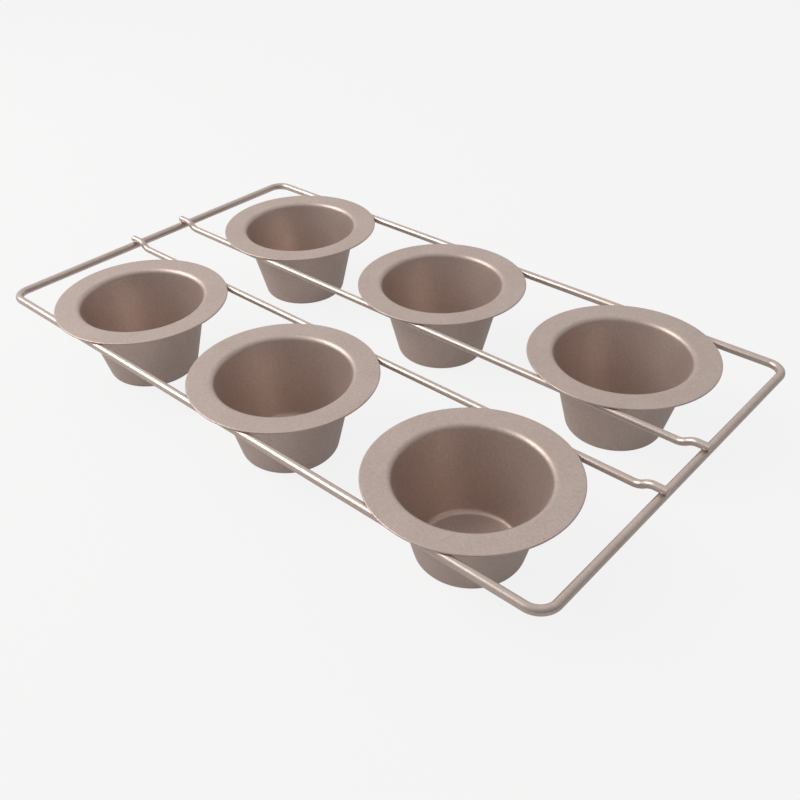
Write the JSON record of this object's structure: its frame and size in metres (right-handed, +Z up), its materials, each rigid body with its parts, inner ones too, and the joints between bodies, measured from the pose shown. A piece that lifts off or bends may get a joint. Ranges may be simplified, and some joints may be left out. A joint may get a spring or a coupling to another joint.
{
  "type": "popover pan",
  "caption": "Rectangular round-wire bakeware frame with cross wires, from which deep tapered sheet cups with wide flat flanges hang in two rows; it stands on the cups' floors.",
  "frame": {"origin": "middle of the pan's outline, on the plane that the cups' undersides stand on", "axes": "+X along the pan's length, +Y across it from the front row to the back row, +Z up out of the cups"},
  "size_m": [0.3874, 0.228, 0.0487],
  "materials": {
    "cup_coating": "champagne metallic non-stick coating on sheet steel, fine speckle, satin",
    "wire_coating": "champagne metallic non-stick coating on round steel wire, satin to glossy"
  },
  "bodies": {
    "root": {"outer_frame": "wire_coating", "cross_wire_front": "wire_coating", "cross_wire_back": "wire_coating", "cup_front_left": "cup_coating", "cup_front_middle": "cup_coating", "cup_front_right": "cup_coating", "cup_back_left": "cup_coating", "cup_back_middle": "cup_coating", "cup_back_right": "cup_coating", "flange_welds": "wire_coating"}
  },
  "joints": []
}
